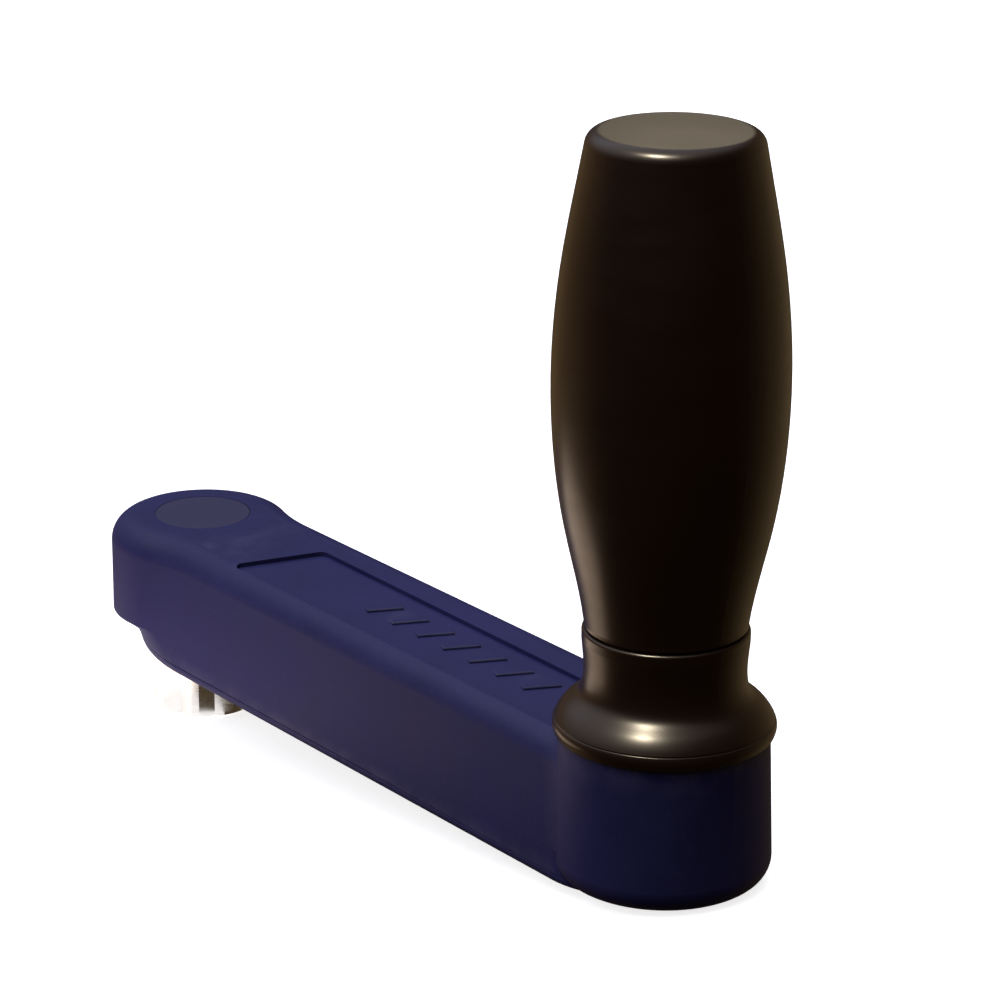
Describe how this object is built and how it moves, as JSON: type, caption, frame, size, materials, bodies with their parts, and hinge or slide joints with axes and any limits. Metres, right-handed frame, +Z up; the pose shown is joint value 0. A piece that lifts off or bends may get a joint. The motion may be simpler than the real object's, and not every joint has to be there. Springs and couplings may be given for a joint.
{
  "type": "winch handle",
  "caption": "Winch handle: a moulded crank arm with a toothed bi-square drive under its head and a barrel-shaped grip that spins on a spindle.",
  "frame": {"origin": "on the drive axis, in the plane of the bottom cover's underside", "axes": "+X along the arm towards the grip, +Z up along the grip, -Z the way the drive points"},
  "size_m": [0.1927, 0.0423, 0.1551],
  "materials": {
    "blue_plastic": "satin",
    "plug_plastic": "satin",
    "black_plastic": "satin",
    "drive_alloy": "satin",
    "spindle_alloy": "satin",
    "steel": "satin",
    "seal_rubber": "matte",
    "foam": "matte",
    "bearing_plastic": "satin",
    "core_plastic": "satin"
  },
  "bodies": {
    "arm": {"arm_shell": "blue_plastic", "bottom_cover": "blue_plastic", "cover_gasket": "seal_rubber", "foam_blocks": "foam", "cover_screws": "steel", "drive_star": "drive_alloy", "drive_seal": "seal_rubber", "drive_washer": "steel", "drive_screw": "steel", "head_plug": "plug_plastic", "grip_spindle": "spindle_alloy", "base_collar": "black_plastic", "spindle_washer": "steel", "spindle_nut": "steel", "thrust_washer": "bearing_plastic", "retaining_washer": "steel", "retaining_nut": "steel"},
    "grip": {"grip_barrel": "black_plastic", "grip_core": "core_plastic", "lower_bush": "bearing_plastic", "upper_bush": "bearing_plastic"}
  },
  "joints": [
    {"name": "grip_spin", "type": "hinge", "parent": "arm", "child": "grip", "pos_m": [0.1524, 0, 0], "axis": [0, 0, 1], "continuous": true}
  ]
}
